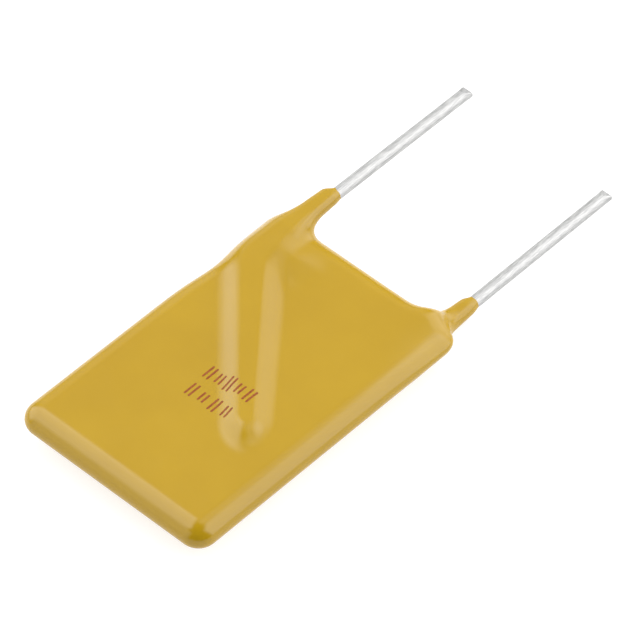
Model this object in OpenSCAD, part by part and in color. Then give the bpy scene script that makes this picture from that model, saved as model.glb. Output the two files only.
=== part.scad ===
// Radial-leaded resettable fuse: a conductive polymer chip between two metal
// foils, a bent wire lead soldered across each foil, and a dipped epoxy coat.
// The fuse lies on its back. +X runs across the body, +Y along the leads
// towards their tips and +Z up, out of the front face.

/* [Chip] */
// Width of the polymer chip
chip_w = 12.6; // [11.8:0.1:16]
// Length of the polymer chip, along the leads
chip_l = 19.55; // [17:0.05:24]
// Thickness of the polymer chip
chip_t = 0.75; // [0.5:0.05:1.2]
// Thickness of each electrode foil
foil_t = 0.05; // [0.03:0.01:0.1]

/* [Leads] */
// Distance between the two leads
lead_pitch = 10.2; // [9:0.1:10.8]
// Diameter of the wire under the coat
wire_d = 0.73; // [0.5:0.01:0.9]
// Thickness of the tin on the bare part of each lead
tin_t = 0.01; // [0.005:0.005:0.03]
// Bare length of the front lead
front_lead_l = 10.95; // [7.6:0.05:20]
// Bare length of the back lead
back_lead_l = 11.45; // [7.6:0.05:20]
// Radius of the bend at the middle of the wire
bend_r = 2.6; // [1:0.1:4]
// How much the wire draws in, on its radius, round the bend
bend_thin = 0.01; // [0.01:0.005:0.03]
// Distance from the chip's head edge down to the bend's corner
bend_drop = 3.3; // [2:0.1:5]
// Distance from the chip's side edge in to the wire's end
end_inset_x = 2.85; // [1:0.05:4]
// Distance from the chip's foot edge up to the wire's end
end_inset_y = 6.6; // [2:0.05:8]
// Thickness of the pinched tip of each lead
tip_t = 0.32; // [0.2:0.01:0.45]
// Length of the pinched tip of each lead
tip_l = 0.5; // [0.3:0.05:1]

/* [Solder] */
// Width of the solder on the foil
solder_w = 1.6; // [1.3:0.05:2.2]
// Thickness of the solder between the wire and the foil
solder_film = 0.03; // [0.02:0.01:0.08]
// Thickness of the solder at its thin edges
solder_edge = 0.04; // [0.02:0.01:0.08]
// Length of wire left bare of solder at each end of the joint
solder_gap = 0.8; // [0.3:0.1:2]

/* [Coat] */
// Coat beyond the chip's edges
edge_cover = 0.65; // [0.5:0.05:1]
// Coat over the foils
face_cover = 0.5; // [0.4:0.05:0.7]
// How far in from the outline the round edges start
edge_w = 1.25; // [1:0.05:1.8]
// Squareness of the foot corners: 2 is round, more is squarer
foot_square = 2; // [2:0.1:4]
// Squareness of the head corners
head_square = 2.5; // [2:0.1:4]
// Half width of each ridge's flat top at its bend
ridge_w = 0.55; // [0.1:0.05:0.8]
// Half width of each ridge's flat top at its end
ridge_end_w = 0.3; // [0.05:0.05:0.6]
// Coat round each wire at its bend
ridge_film = 0.115; // [0.05:0.005:0.15]
// Coat round each wire at its end, before the fillet swells it
ridge_end_film = 0; // [0:0.005:0.15]
// Coat round each wire at the root of its neck
neck_film = 0.21; // [0.1:0.01:0.25]
// Coat round each lead where it leaves its neck
exit_film = 0.05; // [0.04:0.01:0.15]
// How far the necks climb the leads above the head edge
neck_l = 3; // [2:0.1:4]
// Extra half width of the web at the root of each neck
web_w = 0.26; // [0.2:0.02:0.7]
// Length over which the web fades into the ridge on the face
web_fade_l = 2.5; // [2:0.5:12]
// Reach of the fillets between the slab, the ridges and the necks
fillet = 1.15; // [0.8:0.05:1.3]

/* [Hidden] */
$fn = 64;

// Slab of the coat, measured from its foot edge and its middle plane
body_w = chip_w + 2 * edge_cover;
body_l = chip_l + 2 * edge_cover;
slab_r = chip_t / 2 + foil_t + face_cover;
web_y = body_l - edge_w;
exit_y = body_l + neck_l;

// Wire route, in the plane that holds the front lead
wire_r = wire_d / 2;
lead_r = wire_r + tin_t;
foil_z = chip_t / 2 + foil_t;
wire_z = foil_z + solder_film + wire_r;
lead_x = -lead_pitch / 2;
corner = [lead_x, edge_cover + chip_l - bend_drop];
wire_end = [chip_w / 2 - end_inset_x, edge_cover + end_inset_y];
slant = wire_end - corner;
slant_l = norm(slant);
slant_dir = slant / slant_l;
bend_angle = atan2(slant.x, -slant.y);
bend_cut = bend_r * tan(bend_angle / 2);
bend_top = corner + [0, bend_cut];
bend_foot = corner + bend_cut * slant_dir;
bend_centre = bend_top + [bend_r, 0];

// The highest point of the coat is over the wire at the root of its neck
root_z = wire_z + wire_r + max(neck_film, ridge_film);
crest_z = root_z + blend_rise(root_z - slab_r);
tip_y = exit_y + max(front_lead_l, back_lead_l);

// Small overlaps: a length, and a turn of the bend into the straight wire
eps = 0.01;
bend_lap = 2;

// Coat colours and metal colours
coat_c = "#cda638";
chip_c = "#2b2c2e";
foil_c = "#b9b2a2";
lead_c = "#d4d6d8";
solder_c = "#a9adb0";

// Puts the parts on the surface, with the middle of their box over the origin
module placed() {
    translate([0, -tip_y / 2, crest_z]) children();
}

// Turns a front piece round the long axis into its twin on the back
module turned() {
    rotate([0, 180, 0]) children();
}

// Field of the coat: negative inside, zero on its skin

function blend_rise(gap) = pow(max(fillet - abs(gap), 0), 2) / (4 * fillet);

function blended(a, b) = min(a, b) - blend_rise(a - b);

function eased(t) = let (c = min(max(t, 0), 1)) c * c * (3 - 2 * c);

function to_segment(p, a, b) =
    let (ab = b - a, t = min(max((p - a) * ab / (ab * ab), 0), 1))
    norm(p - a - t * ab);

// Distance in plan from a point to the wire's bend, where it faces the bend
function to_bend(p) =
    let (v = p - bend_centre, turn = atan2(-v.y, -v.x))
    turn >= 0 && turn <= bend_angle ? abs(norm(v) - bend_r) : body_l;

function to_route(p) = min(
    to_segment(p, bend_top, [lead_x, exit_y + neck_l]),
    to_segment(p, bend_foot, wire_end),
    to_bend(p));

// Share of the web and of the neck's film, from the exit down to the ridge
function web_share(y) = y > web_y
    ? max(exit_y - y, 0) / (exit_y - web_y)
    : eased((y - web_y) / web_fade_l + 1);

// Share of the way along the slanted wire, 0 at its bend and 1 at its end
function slant_share(p) =
    let (run = wire_end - bend_foot)
    min(max((p - bend_foot) * run / (run * run), 0), 1);

function mixed(a, b, t) = a + (b - a) * t;

// The wire's skin has a flat top of the given half width
function wire_field(p) =
    let (
        plan = [p.x, p.y],
        share = web_share(p.y),
        t = slant_share(plan),
        on_neck = p.y > web_y,
        half_w = mixed(on_neck ? 0 : mixed(ridge_w, ridge_end_w, t), web_w, share),
        film = mixed(on_neck ? exit_film : mixed(ridge_film, ridge_end_film, t), neck_film, share)
    )
    norm([max(to_route(plan) - half_w, 0), p.z - wire_z]) - wire_r - film;

function power_norm(a, b, n) = pow(pow(a, n) + pow(b, n), 1 / n);

// The slab's edges are oval in section
function slab_field(p) =
    let (
        qx = max(abs(p.x) - body_w / 2 + edge_w, 0),
        qy = max(abs(p.y - body_l / 2) - body_l / 2 + edge_w, 0),
        out = power_norm(qx, qy, p.y > body_l / 2 ? head_square : foot_square)
    )
    norm([out * slab_r / edge_w, p.z]) - slab_r;

function coat_field(p) = blended(
    blended(slab_field(p), wire_field(p)),
    wire_field([-p.x, p.y, -p.z]));

// Steps of the search along a spoke, and the smallest slope it divides by
search_n = 8;
least_slope = 0.4;

// Point where a spoke, from an origin inside the coat, comes out of the skin
function skin_point(spoke, t, tries = search_n) =
    let (p = spoke[0] + t * spoke[1])
    tries == 0 ? p :
    let (f = coat_field(p), slope = (coat_field(p + eps * spoke[1]) - f) / eps)
    skin_point(spoke, t - f / max(slope, least_slope), tries - 1);

// Mesh of the coat: a front and a back sheet on one grid of spokes, which meet
// along the outline, and a tube on each neck

// Grid steps: round edges, edge to lead, lead to crotch, crotch to crotch,
// foot to head, and up each neck
round_n = 6;
side_n = 3;
neck_in_n = 5;
mid_n = 17;
len_n = 38;
neck_n = 7;

// Half width of the neck's root, with a margin for its fillet
root_margin = 0.1;
root_w = wire_r + neck_film + web_w + root_margin;

// How the neck's middle climbs to the wire, and how late its spokes turn
climb_start = 0.45;
climb_rate = 2;
turn_power = 3;

function steps(a, b, n) = [for (i = [1:n]) a + (b - a) * i / n];

// Spokes of a round edge share one origin, where its rounding starts
flat_x = body_w / 2 - edge_w;
half_x = concat(
    [for (i = [0:round_n]) -flat_x],
    steps(-flat_x, lead_x, side_n),
    steps(lead_x, lead_x + root_w, neck_in_n));
neck_cols = len(half_x) - 1;
centre_col = round_n + side_n;
mid_x = steps(lead_x + root_w, -lead_x - root_w, mid_n);
col_x = concat(half_x, mid_x, [for (i = [neck_cols - 1:-1:0]) -half_x[i]]);
cols = len(col_x) - 1;
row_y = concat(
    [for (i = [0:round_n]) edge_w],
    steps(edge_w, web_y, len_n),
    [for (i = [1:round_n]) web_y]);
rows = len(row_y) - 1;
exit_rows = steps(body_l, exit_y, neck_n);

// Steps that a grid line lies out on a round edge, from 0 on the flat
function edge_steps(i, n) = max(round_n - min(i, n - i), 0);

function slab_spoke(i, j, side) =
    let (
        out = [
            (i < cols / 2 ? -1 : 1) * edge_steps(i, cols),
            (j < rows / 2 ? -1 : 1) * edge_steps(j, rows)],
        far = max(abs(out.x), abs(out.y)),
        tilt = 90 * (1 - far / round_n),
        plan = far == 0 ? [0, 0] : cos(tilt) * out / norm(out)
    )
    [[col_x[i], row_y[j], 0], [plan.x, plan.y, side * sin(tilt)]];

// Angle round the neck, 180 at its outer side, 90 on top and 0 at the crotch
function neck_turn(i) = i <= centre_col
    ? 180 - 90 * i / centre_col
    : 90 * (neck_cols - i) / (neck_cols - centre_col);

// Spoke of the front lead's neck, whose middle climbs from the slab to the wire
function neck_spoke(i, side, y) =
    let (climb = eased(climb_start + climb_rate * (y - body_l) / neck_l))
    [[lead_x, y, wire_z * climb], [cos(neck_turn(i)), 0, side * sin(neck_turn(i))]];

// The slab's spokes turn into the neck's over the head edge
function head_spoke(i, j, side) =
    let (
        a = slab_spoke(i, j, side),
        turn = edge_steps(j, rows) / round_n,
        b = neck_spoke(i, side, web_y + edge_w * sin(90 * turn)),
        s = a + pow(turn, turn_power) * (b - a)
    )
    [s[0], s[1] / norm(s[1])];

function flipped(p) = [-p.x, p.y, -p.z];

// Columns past the middle are the other half, turned round the long axis
function grid_point(i, j, side) =
    i > cols / 2 ? flipped(grid_point(cols - i, j, -side)) :
    skin_point(i < neck_cols && j > rows / 2 ? head_spoke(i, j, side) : slab_spoke(i, j, side),
        crest_z + eps);

function tube_point(i, j, side, back) =
    let (p = skin_point(neck_spoke(i, side, exit_rows[j]), crest_z + eps))
    back ? flipped(p) : p;

sides = [1, -1];
sheet_points = (cols + 1) * (rows + 1);
tube_points = (neck_cols + 1) * neck_n;

// True where the front and back sheets share a point
function on_seam(i, j) = i == 0 || i == cols || j == 0
    || (j == rows && i >= neck_cols && i <= cols - neck_cols);

function grid_index(i, j, s) =
    (on_seam(i, j) ? 0 : s * sheet_points) + j * (cols + 1) + i;

// Point of a tube: station 0 is the grid's last row, and s is the sheet
function tube_index(i, j, s, back) =
    j == 0 ? grid_index(back ? cols - i : i, rows, back ? 1 - s : s) :
    2 * sheet_points + 2 * tube_points * (back ? 1 : 0)
    + (i == 0 || i == neck_cols ? 0 : s * tube_points)
    + (j - 1) * (neck_cols + 1) + i;

// Two triangles of a grid cell, cut from b to d or, if turned, from a to c
function quad(a, b, c, d, turned) = turned ? [[a, d, c], [a, c, b]] : [[a, d, b], [b, d, c]];

function reversed(faces) = [for (f = faces) [f[2], f[1], f[0]]];

// Wire ridges, necks and slab edges as one smooth skin
module coat_skin() {
    grid = [for (side = sides, j = [0:rows], i = [0:cols]) grid_point(i, j, side)];
    tubes = [for (back = [false, true], side = sides, j = [0:neck_n - 1], i = [0:neck_cols])
        tube_point(i, j, side, back)];
    caps = [[lead_x, exit_y, wire_z], [-lead_x, exit_y, -wire_z]];
    cap_index = len(grid) + len(tubes);
    // Cells are cut along the ridge of their sheet, but never across a foot corner
    front_faces = [for (j = [0:rows - 1], i = [0:cols - 1])
        each quad(grid_index(i, j, 0), grid_index(i + 1, j, 0),
            grid_index(i + 1, j + 1, 0), grid_index(i, j + 1, 0), i + j == 0)];
    back_faces = [for (j = [0:rows - 1], i = [0:cols - 1])
        each reversed(quad(grid_index(i, j, 1), grid_index(i + 1, j, 1),
            grid_index(i + 1, j + 1, 1), grid_index(i, j + 1, 1), i + 1 < cols || j > 0))];
    tube_faces = [for (back = [false, true], j = [0:neck_n - 1], i = [0:neck_cols - 1])
        each concat(
            quad(tube_index(i, j, 0, back), tube_index(i + 1, j, 0, back),
                tube_index(i + 1, j + 1, 0, back), tube_index(i, j + 1, 0, back), true),
            reversed(quad(tube_index(i, j, 1, back), tube_index(i + 1, j, 1, back),
                tube_index(i + 1, j + 1, 1, back), tube_index(i, j + 1, 1, back), true)))];
    cap_faces = [for (back = [0, 1], s = [0, 1], i = [0:neck_cols - 1])
        let (a = tube_index(i, neck_n, s, back == 1), b = tube_index(i + 1, neck_n, s, back == 1))
        s == 0 ? [a, cap_index + back, b] : [b, cap_index + back, a]];
    polyhedron(
        concat(grid, tubes, caps),
        concat(front_faces, back_faces, tube_faces, cap_faces),
        convexity = 6);
}

// Round bar from one plan point to another, at the wire's level
module bar(a, b, r1, r2) {
    d = b - a;
    translate([a.x, a.y, wire_z]) rotate([-90, 0, atan2(d.y, d.x) - 90])
        cylinder(h = norm(d), r1 = r1, r2 = r2);
}

// Wire of the front lead as it lies under the coat, drawn on past the exit.
// Its tin thins out from half at the exit to none at the bend.
module buried_wire(past_exit) {
    run = exit_y - bend_top.y;
    bar(bend_top, [lead_x, exit_y + past_exit], wire_r, wire_r + tin_t / 2 * (1 + past_exit / run));
    translate([bend_centre.x, bend_centre.y, wire_z]) rotate([0, 0, 180 - bend_lap])
        rotate_extrude(angle = bend_angle + 2 * bend_lap)
            translate([bend_r, 0]) circle(r = wire_r - bend_thin);
    bar(bend_foot, wire_end, wire_r, wire_r);
}

// Wedge that the cutter takes off one side of a lead's tip
module tip_cut(end_y) {
    translate([lead_x - lead_r - eps, end_y, wire_z]) rotate([90, 0, 90])
        linear_extrude(2 * (lead_r + eps))
            polygon([[eps, tip_t / 2], [eps, lead_r + eps], [-tip_l, lead_r + eps], [-tip_l, lead_r]]);
}

// Lead with its bare, tinned length and its pinched tip
module lead(bare_l) {
    end_y = exit_y + bare_l;
    buried_wire(wire_d);
    difference() {
        bar([lead_x, exit_y], [lead_x, end_y], lead_r, lead_r);
        tip_cut(end_y);
        translate([0, 0, 2 * wire_z]) mirror([0, 0, 1]) tip_cut(end_y);
    }
}

// Solder under and beside the slanted wire, with hollow sides
module solder() {
    reach = wire_r + solder_film;
    translate([bend_foot.x, bend_foot.y, foil_z])
        rotate([90, 0, atan2(slant_dir.y, slant_dir.x) + 90])
            translate([0, 0, solder_gap])
                linear_extrude(slant_l - bend_cut - 2 * solder_gap) difference() {
                    translate([-solder_w / 2, 0]) square([solder_w, reach]);
                    for (s = [-1, 1])
                        translate([s * solder_w / 2, reach + solder_edge]) circle(r = reach);
                    translate([0, reach]) circle(r = wire_r);
                }
}

module chip_plate(z, t) {
    translate([-chip_w / 2, edge_cover, z]) cube([chip_w, chip_l, t]);
}

// What the coat closes round
module inside_coat() {
    chip_plate(-foil_z, 2 * foil_z);
    buried_wire(wire_d);
    turned() buried_wire(wire_d);
    solder();
    turned() solder();
}

module coating() {
    color(coat_c) placed() difference() {
        coat_skin();
        inside_coat();
    }
}

module ptc_chip() {
    color(chip_c) placed() chip_plate(-chip_t / 2, chip_t);
}

module front_foil() {
    color(foil_c) placed() chip_plate(chip_t / 2, foil_t);
}

module back_foil() {
    color(foil_c) placed() chip_plate(-foil_z, foil_t);
}

module front_lead() {
    color(lead_c) placed() lead(front_lead_l);
}

module back_lead() {
    color(lead_c) placed() turned() lead(back_lead_l);
}

module front_solder() {
    color(solder_c) placed() solder();
}

module back_solder() {
    color(solder_c) placed() turned() solder();
}

coating();
ptc_chip();
front_foil();
back_foil();
front_lead();
back_lead();
front_solder();
back_solder();
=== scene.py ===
import math
import bpy
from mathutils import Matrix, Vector


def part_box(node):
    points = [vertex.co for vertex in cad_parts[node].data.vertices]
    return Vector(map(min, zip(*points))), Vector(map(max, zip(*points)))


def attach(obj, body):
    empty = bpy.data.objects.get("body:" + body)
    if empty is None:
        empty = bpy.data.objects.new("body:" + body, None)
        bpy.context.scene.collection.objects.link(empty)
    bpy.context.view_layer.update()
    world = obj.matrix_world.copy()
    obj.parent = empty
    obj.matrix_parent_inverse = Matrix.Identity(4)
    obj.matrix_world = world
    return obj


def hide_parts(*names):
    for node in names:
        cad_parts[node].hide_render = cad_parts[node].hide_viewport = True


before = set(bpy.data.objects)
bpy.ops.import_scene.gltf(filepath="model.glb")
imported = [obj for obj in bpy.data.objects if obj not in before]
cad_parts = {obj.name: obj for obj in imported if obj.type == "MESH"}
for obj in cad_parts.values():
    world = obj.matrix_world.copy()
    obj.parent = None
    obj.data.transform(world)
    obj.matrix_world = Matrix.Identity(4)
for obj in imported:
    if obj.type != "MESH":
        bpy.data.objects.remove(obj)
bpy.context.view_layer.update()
mm = 0.001
metre = 1000.0  # in millimetres
print("frame loaded:", ", ".join(sorted(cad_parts)))


# node tree helpers

def addNode(tree, kind, links=None, **settings):
    node = tree.nodes.new(kind)
    for name, value in settings.items():
        setattr(node, name, value)
    for slot, value in (links or {}).items():
        socket = node.inputs[slot]
        if isinstance(value, Term):
            value = value.socket
        if isinstance(value, bpy.types.NodeSocket):
            tree.links.new(value, socket)
        else:
            socket.default_value = value
    return node


class Term:  # a number in a node tree, so that the form can be written as sums
    def __init__(self, tree, socket):
        self.tree = tree
        self.socket = socket

    def do(self, operation, *values):
        node = addNode(self.tree, "ShaderNodeMath", dict(enumerate(values)), operation=operation)
        return Term(self.tree, node.outputs[0])

    def __add__(self, other):
        return self.do("ADD", self, other)

    def __radd__(self, other):
        return self.do("ADD", self, other)

    def __sub__(self, other):
        return self.do("SUBTRACT", self, other)

    def __rsub__(self, other):
        return self.do("SUBTRACT", other, self)

    def __mul__(self, other):
        return self.do("MULTIPLY", self, other)

    def __rmul__(self, other):
        return self.do("MULTIPLY", self, other)

    def __truediv__(self, other):
        return self.do("DIVIDE", self, other)

    def __rtruediv__(self, other):
        return self.do("DIVIDE", other, self)

    def __neg__(self):
        return self.do("MULTIPLY", self, -1.0)

    def over(self, level):  # 1 where it is above the level, 0 elsewhere
        return self.do("GREATER_THAN", self, level)

    def raised(self, power):
        return self.do("POWER", self, power)

    def size(self):
        return self.do("ABSOLUTE", self)

    def root(self):
        return self.do("SQRT", self)


def least(a, b):
    return a.do("MINIMUM", a, b)


def most(a, b):
    return a.do("MAXIMUM", a, b)


def span(a, b):
    return (a * a + b * b).root()


def mixed(a, b, share):  # a where share is 0, b where it is 1
    return share * (b - a) + a


def eased(t):  # a soft step from 0 to 1
    c = least(most(t, 0.0), 1.0)
    return c * c * (3.0 - 2.0 * c)


def hump(t):  # a bell curve, 1 at 0
    return t.do("EXPONENT", t * t * -0.5)


def newTree(name, inputs, outputs):
    tree = bpy.data.node_groups.new(name, "GeometryNodeTree")
    for way, sockets in (("INPUT", inputs), ("OUTPUT", outputs)):
        for label, kind in sockets.items():
            tree.interface.new_socket(label, in_out=way, socket_type="NodeSocket" + kind)
    return tree, addNode(tree, "NodeGroupInput").outputs, addNode(tree, "NodeGroupOutput").inputs


def bakeTree(name, tree, data, values):
    maker = bpy.data.objects.new(name + "Maker", data)
    bpy.context.scene.collection.objects.link(maker)
    modifier = maker.modifiers.new("nodes", "NODES")
    modifier.node_group = tree
    for item in tree.interface.items_tree:
        if item.in_out == "INPUT" and item.name in values:
            modifier[item.identifier] = values[item.name]
    bpy.context.view_layer.update()
    mesh = bpy.data.meshes.new_from_object(maker.evaluated_get(bpy.context.evaluated_depsgraph_get()))
    maker.modifiers.remove(modifier)
    bpy.data.objects.remove(maker)
    mesh.name = name
    piece = bpy.data.objects.new(name, mesh)
    bpy.context.scene.collection.objects.link(piece)
    print(name, "made:", len(mesh.vertices), "points,", len(mesh.polygons), "faces")
    return piece


# materials

noiseSpan = (0.3, 0.7)  # nearly all of a noise lies between these


def newMaterial(name, **values):
    material = bpy.data.materials.new(name)
    material.use_nodes = True
    tree = material.node_tree
    shader = tree.nodes["Principled BSDF"]
    for slot, value in values.items():
        shader.inputs[slot.replace("_", " ")].default_value = value
    return material, tree, shader


def noiseOn(tree, scale, detail=3.0, stretch=(1.0, 1.0, 1.0)):
    place = addNode(tree, "ShaderNodeTexCoord").outputs["Object"]
    stretched = addNode(tree, "ShaderNodeMapping", {"Vector": place, "Scale": stretch}).outputs[0]
    noise = addNode(tree, "ShaderNodeTexNoise", {"Vector": stretched, "Scale": scale, "Detail": detail})
    return noise.outputs[0]


def tint(tree, shader, noise, low, high):
    ramp = addNode(tree, "ShaderNodeValToRGB", {0: noise})
    for stop, position, color in zip(ramp.color_ramp.elements, noiseSpan, (low, high)):
        stop.position = position
        stop.color = (*color, 1.0)
    tree.links.new(ramp.outputs[0], shader.inputs["Base Color"])


def polish(tree, shader, noise, low, high):
    gloss = addNode(tree, "ShaderNodeMapRange", {
        "Value": noise, "From Min": noiseSpan[0], "From Max": noiseSpan[1], "To Min": low, "To Max": high})
    tree.links.new(gloss.outputs[0], shader.inputs["Roughness"])


def emboss(tree, shader, noise, strength, depth):
    bump = addNode(tree, "ShaderNodeBump", {"Height": noise, "Strength": strength, "Distance": depth})
    tree.links.new(bump.outputs[0], shader.inputs["Normal"])


epoxy = {
    "deep": (0.416, 0.250, 0.0030),
    "pale": (0.441, 0.269, 0.0042),
    "cloudScale": 260.0,       # soft clouds of pigment, per metre
    "gloss": (0.13, 0.19),     # roughness from the smooth to the duller spots
    "glossScale": 900.0,
    "peelScale": 1500.0,       # slight orange peel
    "peelDetail": 2.0,
    "peelStrength": 0.2,
    "peelDepth": 0.006 * mm,
    "ior": 1.5,
}


def makeEpoxy():
    material, tree, shader = newMaterial("goldenEpoxy", IOR=epoxy["ior"])
    tint(tree, shader, noiseOn(tree, epoxy["cloudScale"]), epoxy["deep"], epoxy["pale"])
    polish(tree, shader, noiseOn(tree, epoxy["glossScale"]), *epoxy["gloss"])
    peel = noiseOn(tree, epoxy["peelScale"], epoxy["peelDetail"])
    emboss(tree, shader, peel, epoxy["peelStrength"], epoxy["peelDepth"])
    return material


tin = {
    "dull": (0.37, 0.37, 0.37),
    "bright": (0.64, 0.64, 0.63),
    "drawLine": (1.0, 0.10, 1.0),   # drawing marks run along the lead
    "drawScale": 17000.0,
    "drawDetail": 4.0,
    "gloss": (0.48, 0.62),
    "markStrength": 0.5,
    "markDepth": 0.006 * mm,
}


def makeTin():
    material, tree, shader = newMaterial("drawnTin", Metallic=1.0)
    marks = noiseOn(tree, tin["drawScale"], tin["drawDetail"], tin["drawLine"])
    tint(tree, shader, marks, tin["dull"], tin["bright"])
    polish(tree, shader, marks, *tin["gloss"])
    emboss(tree, shader, marks, tin["markStrength"], tin["markDepth"])
    return material


ink = {
    "thin": (0.33, 0.098, 0.018),
    "full": (0.23, 0.054, 0.010),
    "grainScale": 5000.0,
    "gloss": (0.40, 0.60),
    "shine": 0.2,
}


def makeInk():
    material, tree, shader = newMaterial("redBrownInk", Specular_IOR_Level=ink["shine"])
    grain = noiseOn(tree, ink["grainScale"])
    tint(tree, shader, grain, ink["thin"], ink["full"])
    polish(tree, shader, grain, *ink["gloss"])
    return material


# pieces sealed in the coat keep their CAD shapes

innerFinishes = {
    "ptc_chip": {"low": (0.012, 0.012, 0.013), "high": (0.030, 0.031, 0.033), "metal": 0.0,
                 "gloss": (0.55, 0.75), "scale": 2500.0},
    "front_foil": {"low": (0.42, 0.38, 0.32), "high": (0.55, 0.51, 0.44), "metal": 1.0,
                   "gloss": (0.35, 0.55), "scale": 6000.0},
    "front_solder": {"low": (0.36, 0.37, 0.39), "high": (0.50, 0.51, 0.53), "metal": 1.0,
                     "gloss": (0.25, 0.45), "scale": 1800.0},
}
innerGrain = {"strength": 0.4, "depth": 0.004 * mm}
twins = {"back_foil": "front_foil", "back_solder": "front_solder"}


def dressInner():
    made = {}
    for node, finish in innerFinishes.items():
        material, tree, shader = newMaterial(node + "Finish", Metallic=finish["metal"])
        grain = noiseOn(tree, finish["scale"])
        tint(tree, shader, grain, finish["low"], finish["high"])
        polish(tree, shader, grain, *finish["gloss"])
        emboss(tree, shader, grain, innerGrain["strength"], innerGrain["depth"])
        made[node] = material
    for node in (*innerFinishes, *twins):
        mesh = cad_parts[node].data
        mesh.materials.clear()
        mesh.materials.append(made[twins.get(node, node)])
    print("inner pieces finished:", len(innerFinishes) + len(twins))


# sizes from the frame, turned to millimetres: y counts from the foot edge, z from the middle plane

coatLow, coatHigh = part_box("coating")
chipLow, chipHigh = (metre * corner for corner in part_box("ptc_chip"))
leadLow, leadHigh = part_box("front_lead")
footY = metre * coatLow.y
edgeCover = chipLow.y - footY
bodyWidth = chipHigh.x - chipLow.x + 2 * edgeCover
bodyLength = chipHigh.y + edgeCover - footY
exitY = metre * coatHigh.y - footY
middleZ = (chipLow.z + chipHigh.z) / 2
leadRadius = metre * (leadHigh.z - leadLow.z) / 2
wireX = metre * leadLow.x + leadRadius


def placed(tree, mesh):  # from these millimetres to the frame
    return addNode(tree, "GeometryNodeTransform", {
        "Geometry": mesh, "Translation": (0.0, footY * mm, middleZ * mm), "Scale": (mm, mm, mm)}).outputs[0]


def closeTree(tree, mesh, material, result):
    mesh = addNode(tree, "GeometryNodeSetShadeSmooth", {"Geometry": mesh}).outputs[0]
    mesh = addNode(tree, "GeometryNodeRealizeInstances", {0: mesh}).outputs[0]
    mesh = addNode(tree, "GeometryNodeSetMaterial", {"Geometry": mesh, "Material": material}).outputs[0]
    tree.links.new(mesh, result["Mesh"])


# route of the front wire, which the back wire repeats half a turn round the long axis

wireForm = {
    "sealedRadius": 0.365,
    "height": 0.82,              # wire's middle above the middle plane
    "bendRadius": 2.6,
    "bendY": 16.9,               # corner of the route
    "end": (3.45, 7.25),
    "routePast": 3.0,            # the route goes on this far past the coat's exit
}


def wireRoute(endBack):
    corner = Vector((wireX, wireForm["bendY"]))
    end = Vector(wireForm["end"])
    slant = (end - corner).normalized()
    angle = math.atan2(slant.x, -slant.y)
    cut = wireForm["bendRadius"] * math.tan(angle / 2)
    return {
        "angle": angle,
        "top": corner + Vector((0, cut)),
        "centre": corner + Vector((wireForm["bendRadius"], cut)),
        "foot": corner + cut * slant,
        "tail": end - endBack * slant,
    }


def alongLine(x, y, a, b):  # 0 at a, 1 at b
    way = (b - a) / (b - a).length_squared
    return least(most((x - a.x) * way.x + (y - a.y) * way.y, 0.0), 1.0)


def toLine(x, y, a, b):
    t = alongLine(x, y, a, b)
    return span(x - a.x - t * (b - a).x, y - a.y - t * (b - a).y)


def toSlant(x, y, a, b, stretch):  # as toLine, but past b the way along counts for less
    way = (b - a).normalized()
    along = (x - a.x) * way.x + (y - a.y) * way.y
    across = (x - a.x) * way.y - (y - a.y) * way.x
    past = most(along - (b - a).length, 0.0) / stretch
    return span(past + most(-along, 0.0), across)


def toRoute(x, y, route, stretch):
    straight = toLine(x, y, route["top"], Vector((wireX, exitY + wireForm["routePast"])))
    slanted = toSlant(x, y, route["foot"], route["tail"], stretch)
    dx = route["centre"].x - x
    dy = route["centre"].y - y
    turn = dx.do("ARCTAN2", dy, dx)
    faces = turn.over(0.0) * (route["angle"] - turn).over(0.0)  # 1 in the bend's sector
    bend = mixed((span(dx, dy) - wireForm["bendRadius"]).size(), bodyLength, 1.0 - faces)
    return least(least(straight, slanted), bend)


# dipped coat, one blended field of the slab and both wires

coatForm = {
    "slabHalf": 0.925,           # half thickness of the slab
    "edgeDepth": 1.25,           # how far in from the outline its oval edges start
    "squareness": (2.0, 2.5),    # of the foot and head corners, 2 is round
    "ridgeWidth": (0.55, 0.30),  # half width of the ridge's flat top, at the bend and the end
    "ridgeFilm": (0.115, -0.05),
    "neckFilm": 0.21,
    "exitFilm": 0.05,
    # half width of each neck's web at its exit and root, towards the other lead and away from it
    "frontWeb": {"inner": (0.0, 0.26), "outer": (0.32, 0.47), "past": 0.1},
    "backWeb": {"inner": (0.16, 0.62), "outer": (0.02, 0.20), "past": 0.3},
    "webFade": 2.5,
    "waist": 0.24,               # the front lead's edge draws in below its neck
    "waistAt": 15.4,
    "waistSize": 1.4,
    "headSwell": 0.55,           # the head edge is fuller beside the back neck
    "swellAt": 4.75,
    "swellSize": 0.6,
    "cushion": (-3.7, 18.2),     # coat gathered in the crook of the bend
    "cushionSize": (1.3, 1.05),
    "cushionRise": 0.34,
    "crestSink": 0.20,           # and drawn from the crest beside it
    "sinkAt": 18.9,
    "sinkSize": 1.5,
    "cornerSlope": 0.4,          # each face falls off at the head corner without a ridge
    "slopeAt": (7.2, 21.0),
    "slopeSize": (1.2, 3.0),
    "endBack": 1.15,             # the ridge's round end starts this far before the wire's end
    "endStretch": 1.7,           # and is longer than it is wide
    "fillet": 1.15,
    "lip": 0.7,                  # the coat thins out over this length at the lead
    "lipSink": 0.02,             # and ends this far inside the lead's skin
    "lipCut": 0.05,              # nothing is left this far past the exit
    "ragged": 0.2,
    "raggedScale": 1.6,
    "raggedDetail": 1.0,
    "voxel": 0.105,
    "margin": 0.5,               # room round the coat in the volume
    "passes": 2,                 # times that the points are drawn onto the skin
    "slopeStep": 0.01,
    "leastSteep": 0.1,
}


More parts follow.
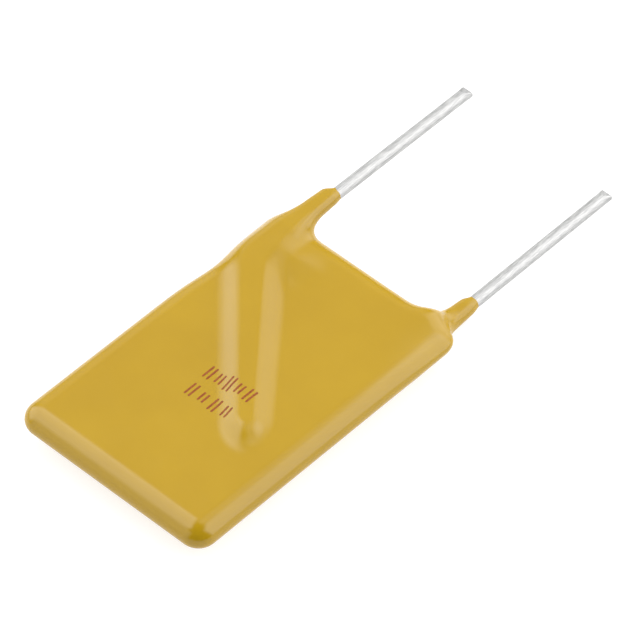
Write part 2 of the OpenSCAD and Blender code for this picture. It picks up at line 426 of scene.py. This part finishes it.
def webShare(y, exitAt):  # 1 at the neck's root, 0 at its exit and below its web
    webY = bodyLength - coatForm["edgeDepth"]
    onNeck = y.over(webY)
    neck = most(exitAt - y, 0.0) / (exitAt - webY)
    face = eased((y - webY) / coatForm["webFade"] + 1.0)
    return mixed(face, neck, onNeck), onNeck


def wireSkin(x, y, z, route, web, rough):
    exitAt = exitY + web["past"]
    share, onNeck = webShare(y, exitAt)
    slant = alongLine(x, y, route["foot"], route["tail"])
    ridge = mixed(*coatForm["ridgeWidth"], slant)
    (innerExit, innerRoot), (outerExit, outerRoot) = web["inner"], web["outer"]
    inner = mixed(mixed(ridge, innerExit, onNeck), innerRoot, mixed(share, share * share, onNeck))
    outer = mixed(mixed(ridge, outerExit, onNeck), outerRoot, share)
    lip = eased((y + rough - exitAt) / coatForm["lip"] + 1.0)
    half = mixed(outer, inner, x.over(wireX)) * (1.0 - lip)
    film = mixed(mixed(*coatForm["ridgeFilm"], slant), coatForm["exitFilm"], onNeck)
    film = mixed(film, coatForm["neckFilm"], share)
    film = film - lip * (coatForm["exitFilm"] + wireForm["sealedRadius"] - leadRadius + coatForm["lipSink"])
    film = film - hump((y - coatForm["sinkAt"]) / coatForm["sinkSize"]) * coatForm["crestSink"]
    off = most(toRoute(x, y, route, coatForm["endStretch"]) - half, 0.0)
    skin = span(off, z - wireForm["height"]) - wireForm["sealedRadius"] - film
    return most(skin, y - exitAt - coatForm["lipCut"])


def mound(x, y, middle, size):  # 1 at its middle, fading out all round
    return hump(span((x - middle[0]) / size[0], (y - middle[1]) / size[1]))


def slabHalfAt(x, y, z):  # half thickness of the slab, more in each crook and less at the corners
    faceX = x * (2.0 * z.over(0.0) - 1.0)
    more = coatForm["cushionRise"] * mound(faceX, y, coatForm["cushion"], coatForm["cushionSize"])
    less = coatForm["cornerSlope"] * mound(faceX, y, coatForm["slopeAt"], coatForm["slopeSize"])
    return more - less + coatForm["slabHalf"]


def slabSkin(x, y, z):
    depth = coatForm["edgeDepth"]
    half = slabHalfAt(x, y, z)
    side = bodyWidth / 2 - depth
    waist = coatForm["waist"] * hump((y - coatForm["waistAt"]) / coatForm["waistSize"])
    across = most(most(x - side, waist - x - side), 0.0)
    swell = coatForm["headSwell"] * hump((x - coatForm["swellAt"]) / coatForm["swellSize"])
    along = most(most(y - (bodyLength - depth + swell), depth - y), 0.0)
    power = mixed(*coatForm["squareness"], y.over(bodyLength / 2))
    out = (across.raised(power) + along.raised(power)).raised(1.0 / power)
    return span(out * (half / depth), z) - half


def blended(a, b):
    reach = most(coatForm["fillet"] - (a - b).size(), 0.0)
    return least(a, b) - reach * reach / (4 * coatForm["fillet"])


def coatFieldGroup():
    tree, given, result = newTree("coatField", {"Point": "Vector"}, {"Distance": "Float"})
    x, y, z = (Term(tree, s) for s in addNode(tree, "ShaderNodeSeparateXYZ", {0: given["Point"]}).outputs)
    route = wireRoute(coatForm["endBack"])
    noise = addNode(tree, "ShaderNodeTexNoise", {
        "Vector": given["Point"], "Scale": coatForm["raggedScale"], "Detail": coatForm["raggedDetail"]})
    rough = (Term(tree, noise.outputs[0]) - 0.5) * coatForm["ragged"]
    front = wireSkin(x, y, z, route, coatForm["frontWeb"], rough)
    back = wireSkin(-x, y, -z, route, coatForm["backWeb"], rough)
    skin = blended(blended(slabSkin(x, y, z), front), back)
    tree.links.new(skin.socket, result["Distance"])
    return tree


def coatTree(field, material):
    tree, given, result = newTree("coatSkin", {"Voxel": "Float"}, {"Mesh": "Geometry"})

    def distance(point):
        return Term(tree, addNode(tree, "GeometryNodeGroup", {0: point}, node_tree=field).outputs[0])

    def moved(point, offset):
        return addNode(tree, "ShaderNodeVectorMath", {0: point, 1: offset}).outputs[0]

    margin = coatForm["margin"] * Vector((1, 1, 1))
    low = Vector((-bodyWidth / 2, 0.0, -metre * coatHigh.z / 2)) - margin
    high = Vector((bodyWidth / 2, exitY, metre * coatHigh.z / 2)) + margin
    voxel = Term(tree, given["Voxel"])
    counts = [side / voxel for side in high - low]
    point = addNode(tree, "GeometryNodeInputPosition").outputs[0]
    cube = addNode(tree, "GeometryNodeVolumeCube", {
        "Density": -distance(point), "Background": -1.0, "Min": low, "Max": high,
        "Resolution X": counts[0], "Resolution Y": counts[1], "Resolution Z": counts[2]}).outputs[0]
    skin = addNode(tree, "GeometryNodeVolumeToMesh", {"Volume": cube, "Threshold": 0.0}).outputs[0]
    step = coatForm["slopeStep"]
    for _ in range(coatForm["passes"]):  # each pass draws the points onto the skin along its slope
        here = distance(point)
        slope = [(distance(moved(point, Vector(axis) * step)) - here) / step
                 for axis in ((1, 0, 0), (0, 1, 0), (0, 0, 1))]
        steep = slope[0] * slope[0] + slope[1] * slope[1] + slope[2] * slope[2]
        pull = [-(here * s) / most(steep, coatForm["leastSteep"]) for s in slope]
        offset = addNode(tree, "ShaderNodeCombineXYZ", dict(enumerate(pull))).outputs[0]
        skin = addNode(tree, "GeometryNodeSetPosition", {"Geometry": skin, "Offset": offset}).outputs[0]
    closeTree(tree, placed(tree, skin), material, result)
    return tree


def makeCoat():
    tree = coatTree(coatFieldGroup(), makeEpoxy())
    coat = bakeTree("dippedCoat", tree, bpy.data.meshes.new("coatSeed"), {"Voxel": coatForm["voxel"]})
    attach(coat, "root")
    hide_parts("coating")
    return coat


# wire leads along their bent route

leadForm = {
    "step": 0.08,          # spacing of the rings
    "sides": 48,
    "bendStops": 24,
    "tipLength": 0.5,      # pinched end
    "tipThick": 0.32,
    "tipSpread": 0.05,
}


def leadTree(material):
    tree, given, result = newTree(
        "wireLead",
        {"Route": "Geometry", "Radius": "Float", "Bend": "Float",
         "Tip": "Float", "Side": "Float", "Level": "Float"},
        {"Mesh": "Geometry"})
    route = addNode(tree, "GeometryNodeFilletCurve", {
        "Curve": given["Route"], "Radius": given["Bend"], "Count": leadForm["bendStops"]},
        mode="POLY").outputs[0]
    route = addNode(tree, "GeometryNodeResampleCurve", {
        "Curve": route, "Length": leadForm["step"]}, mode="LENGTH").outputs[0]
    ring = addNode(tree, "GeometryNodeCurvePrimitiveCircle", {
        "Resolution": leadForm["sides"], "Radius": given["Radius"]}).outputs[0]
    wire = addNode(tree, "GeometryNodeCurveToMesh", {
        "Curve": route, "Profile Curve": ring, "Fill Caps": True}).outputs[0]
    point = addNode(tree, "GeometryNodeInputPosition").outputs[0]
    x, y, z = (Term(tree, s) for s in addNode(tree, "ShaderNodeSeparateXYZ", {0: point}).outputs)
    radius, tip, side, level = (Term(tree, given[n]) for n in ("Radius", "Tip", "Side", "Level"))
    pinch = most((y - tip) / leadForm["tipLength"] + 1.0, 0.0)
    half = mixed(radius, leadForm["tipThick"] / 2, pinch)
    rise = least(most(z - level, -half), half) + level
    spread = (x - side) * (1.0 + leadForm["tipSpread"] * pinch) + side
    shaped = addNode(tree, "ShaderNodeCombineXYZ", {0: spread, 1: y, 2: rise}).outputs[0]
    wire = addNode(tree, "GeometryNodeSetPosition", {"Geometry": wire, "Position": shaped}).outputs[0]
    closeTree(tree, placed(tree, wire), material, result)
    return tree


def routeCurve(name, points):
    curve = bpy.data.curves.new(name, "CURVE")
    curve.dimensions = "3D"
    spline = curve.splines.new("POLY")
    spline.points.add(len(points) - 1)
    for target, point in zip(spline.points, points):
        target.co = (*point, 1.0)
    return curve


def makeLeads():
    tree = leadTree(makeTin())
    endX, endY = wireForm["end"]
    for node, flip in (("front_lead", 1), ("back_lead", -1)):
        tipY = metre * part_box(node)[1].y - footY
        side = flip * wireX
        level = flip * wireForm["height"]
        stops = [(flip * endX, endY, level), (side, wireForm["bendY"], level), (side, tipY, level)]
        name = node.replace("_lead", "WireLead")
        lead = bakeTree(name, tree, routeCurve(name + "Route", stops), {
            "Radius": leadRadius, "Bend": wireForm["bendRadius"], "Tip": tipY, "Side": side, "Level": level})
        for polygon in lead.data.polygons:
            polygon.use_smooth = len(polygon.vertices) == 4  # the end caps stay flat
        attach(lead, "root")
        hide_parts(node)


# two rows of plain ink strokes on the front face

inkForm = {
    "strokeWidth": 0.13,
    "strokeHeight": 1.0,
    "strokeGrid": (4, 22),
    "roundTo": 0.96,         # square of how far its round ends go before they are cut
    "shortShare": 0.72,      # every other pair is shorter
    "pairGap": 0.30,
    "rows": (
        {"pairs": 4, "gap": 0.85, "first": (1.75, 7.55)},
        {"pairs": 5, "gap": 0.74, "first": (2.05, 9.1)},
    ),
    "dropFrom": 3.0,         # height from which the strokes are laid on the coat
    "lift": 0.004,
}


def inkPair(tree, width, height):
    across, along = inkForm["strokeGrid"]
    stroke = addNode(tree, "GeometryNodeMeshGrid", {
        "Size X": width, "Size Y": height, "Vertices X": across, "Vertices Y": along}).outputs[0]
    point = addNode(tree, "GeometryNodeInputPosition").outputs[0]
    x, y, z = (Term(tree, s) for s in addNode(tree, "ShaderNodeSeparateXYZ", {0: point}).outputs)
    past = most(y.size() - (height - width) / 2.0, 0.0) / (width / 2.0)
    narrow = (1.0 - least(past * past, inkForm["roundTo"])).root()
    rounded = addNode(tree, "ShaderNodeCombineXYZ", {0: x * narrow, 1: y, 2: z}).outputs[0]
    stroke = addNode(tree, "GeometryNodeSetPosition", {"Geometry": stroke, "Position": rounded}).outputs[0]
    pair = addNode(tree, "GeometryNodeJoinGeometry")
    for side in (-0.5, 0.5):
        shifted = addNode(tree, "GeometryNodeTransform", {
            "Geometry": stroke, "Translation": (side * inkForm["pairGap"], 0.0, 0.0)}).outputs[0]
        tree.links.new(shifted, pair.inputs[0])
    return pair.outputs[0]


def inkSpots(tree):
    spots = addNode(tree, "GeometryNodeJoinGeometry")
    for row in inkForm["rows"]:
        line = addNode(tree, "GeometryNodeMeshLine", {
            "Count": row["pairs"], "Start Location": (*row["first"], inkForm["dropFrom"]),
            "Offset": (-row["gap"], 0.0, 0.0)}).outputs[0]
        tree.links.new(line, spots.inputs[0])
    return spots.outputs[0]


def laidOn(tree, coat, marks, lift):  # drops every point straight down onto the coat
    skin = addNode(tree, "GeometryNodeObjectInfo", {"Object": coat}).outputs["Geometry"]
    point = addNode(tree, "GeometryNodeInputPosition").outputs[0]
    drop = addNode(tree, "GeometryNodeRaycast", {
        "Target Geometry": skin, "Source Position": point, "Ray Direction": (0.0, 0.0, -1.0)}).outputs
    up = addNode(tree, "ShaderNodeVectorMath", {0: drop["Hit Normal"], "Scale": lift}, operation="SCALE")
    laid = addNode(tree, "ShaderNodeVectorMath", {0: drop["Hit Position"], 1: up.outputs[0]}).outputs[0]
    return addNode(tree, "GeometryNodeSetPosition", {"Geometry": marks, "Position": laid}).outputs[0]


def strokeTree(coat, material):
    tree, given, result = newTree(
        "inkStrokes", {"Width": "Float", "Height": "Float", "Lift": "Float"}, {"Mesh": "Geometry"})
    width, height, lift = (Term(tree, given[n]) for n in ("Width", "Height", "Lift"))
    index = Term(tree, addNode(tree, "GeometryNodeInputIndex").outputs[0])
    tall = 1.0 - (1.0 - inkForm["shortShare"]) * index.do("MODULO", index, 2.0)
    scale = addNode(tree, "ShaderNodeCombineXYZ", {0: 1.0, 1: tall, 2: 1.0}).outputs[0]
    marks = addNode(tree, "GeometryNodeInstanceOnPoints", {
        "Points": inkSpots(tree), "Instance": inkPair(tree, width, height), "Scale": scale}).outputs[0]
    marks = addNode(tree, "GeometryNodeRealizeInstances", {0: marks}).outputs[0]
    marks = laidOn(tree, coat, placed(tree, marks), lift * mm)
    closeTree(tree, marks, material, result)
    return tree


def makeInkStrokes(coat):
    tree = strokeTree(coat, makeInk())
    marks = bakeTree("inkStrokes", tree, bpy.data.meshes.new("inkSeed"), {
        "Width": inkForm["strokeWidth"], "Height": inkForm["strokeHeight"], "Lift": inkForm["lift"]})
    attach(marks, "root")


# floor, soft panels and camera

studio = {
    "floorSide": 4.0,
    "floorColor": (0.40, 0.40, 0.40),
    "floorRough": 0.9,
    "floorShine": 0.1,
    "floorGlow": 0.75,         # the pale table is lit from below
    "white": (1.0, 1.0, 1.0, 1.0),
    "ambient": 0.14,
    "distance": 0.40,
    "layers": 4,               # each panel is a stack, so that its edge fades
    "layerStep": 0.01,         # each layer is this share of the distance behind the last
    "fade": 12.0,
    # degrees round from +Y towards +X, elevations, radiance
    "panels": {
        "rightPanel": ((17.0, 82.0), (4.0, 66.0), 2.8),
        "rightFill": ((-20.0, 17.0), (4.0, 50.0), 2.0),
        "topFill": ((-20.0, 17.0), (50.0, 80.0), 1.05),
        "leftPanel": ((-140.0, -72.0), (9.0, 71.0), 2.8),
        "leftFill": ((-178.0, -140.0), (0.0, 45.0), 1.3),
        "leftBackFill": ((-72.0, -46.0), (0.0, 34.0), 0.4),
        "backFill": ((-70.0, -20.0), (12.0, 80.0), 0.7),
    },
}
photoView = {
    "azimuth": 42.937,       # round from -Y towards +X
    "elevation": 47.721,
    "distance": 297.477 * mm,
    "target": (0.0, 14.0),   # millimetres from the foot edge, in the middle plane
    "targetPixel": (284.112, 343.835),
    "focalPixels": 5400.0,
    "framePixels": 640.0,
    "sensorWidth": 36.0,
    "clipStart": 0.01,
}


def makeFloor():
    mesh = bpy.data.meshes.new("paleFloor")
    half = studio["floorSide"] / 2
    corners = [(-half, -half, 0), (half, -half, 0), (half, half, 0), (-half, half, 0)]
    mesh.from_pydata(corners, [], [(0, 1, 2, 3)])
    floor = bpy.data.objects.new("paleFloor", mesh)
    bpy.context.scene.collection.objects.link(floor)
    material = newMaterial(
        "palePaper", Base_Color=(*studio["floorColor"], 1.0), Roughness=studio["floorRough"],
        Specular_IOR_Level=studio["floorShine"], Emission_Color=studio["white"],
        Emission_Strength=studio["floorGlow"])[0]
    mesh.materials.append(material)


def towards(azimuth, elevation):
    a, e = math.radians(azimuth), math.radians(elevation)
    return Vector((math.sin(a) * math.cos(e), math.cos(a) * math.cos(e), math.sin(e)))


def makePanels():
    layers = studio["layers"]
    for name, ((start, end), (low, high), radiance) in studio["panels"].items():
        out = towards((start + end) / 2, (low + high) / 2)
        wide = (end - start) / 2 * math.cos(math.radians((low + high) / 2))
        tall = (high - low) / 2
        for layer in range(layers):
            grow = studio["fade"] * ((layer + 0.5) / layers - 0.5)
            away = studio["distance"] * (1 + studio["layerStep"] * layer)
            light = bpy.data.lights.new(name, "AREA")
            light.shape = "RECTANGLE"
            light.size = 2 * away * math.tan(math.radians(wide + grow))
            light.size_y = 2 * away * math.tan(math.radians(tall + grow))
            light.energy = radiance / layers * math.pi * light.size * light.size_y
            panel = bpy.data.objects.new(name, light)
            panel.location = out * away
            panel.rotation_euler = out.to_track_quat("Z", "Y").to_euler()
            bpy.context.scene.collection.objects.link(panel)


def makeAir():
    world = bpy.data.worlds.new("studioAir")
    world.use_nodes = True
    air = world.node_tree.nodes["Background"].inputs
    air["Color"].default_value = studio["white"]
    air["Strength"].default_value = studio["ambient"]
    bpy.context.scene.world = world


def makeCamera():
    back = towards(180.0 - photoView["azimuth"], photoView["elevation"])
    turn = back.to_track_quat("Z", "Y")
    right, up = turn @ Vector((1, 0, 0)), turn @ Vector((0, 1, 0))
    target = Vector((photoView["target"][0], photoView["target"][1] + footY, middleZ)) * mm
    middle = photoView["framePixels"] / 2
    scale = photoView["distance"] / photoView["focalPixels"]
    aside = (middle - photoView["targetPixel"][0]) * scale
    above = (photoView["targetPixel"][1] - middle) * scale
    data = bpy.data.cameras.new("photoCamera")
    data.sensor_width = photoView["sensorWidth"]
    data.lens = photoView["focalPixels"] * data.sensor_width / photoView["framePixels"]
    data.clip_start = photoView["clipStart"]
    camera = bpy.data.objects.new("photoCamera", data)
    camera.location = target + back * photoView["distance"] + right * aside + up * above
    camera.rotation_euler = turn.to_euler()
    bpy.context.scene.collection.objects.link(camera)
    bpy.context.scene.camera = camera


coat = makeCoat()
dressInner()
makeLeads()
makeInkStrokes(coat)
makeFloor()
makePanels()
makeAir()
makeCamera()
bpy.context.scene.view_settings.view_transform = "Standard"
print("studio ready")
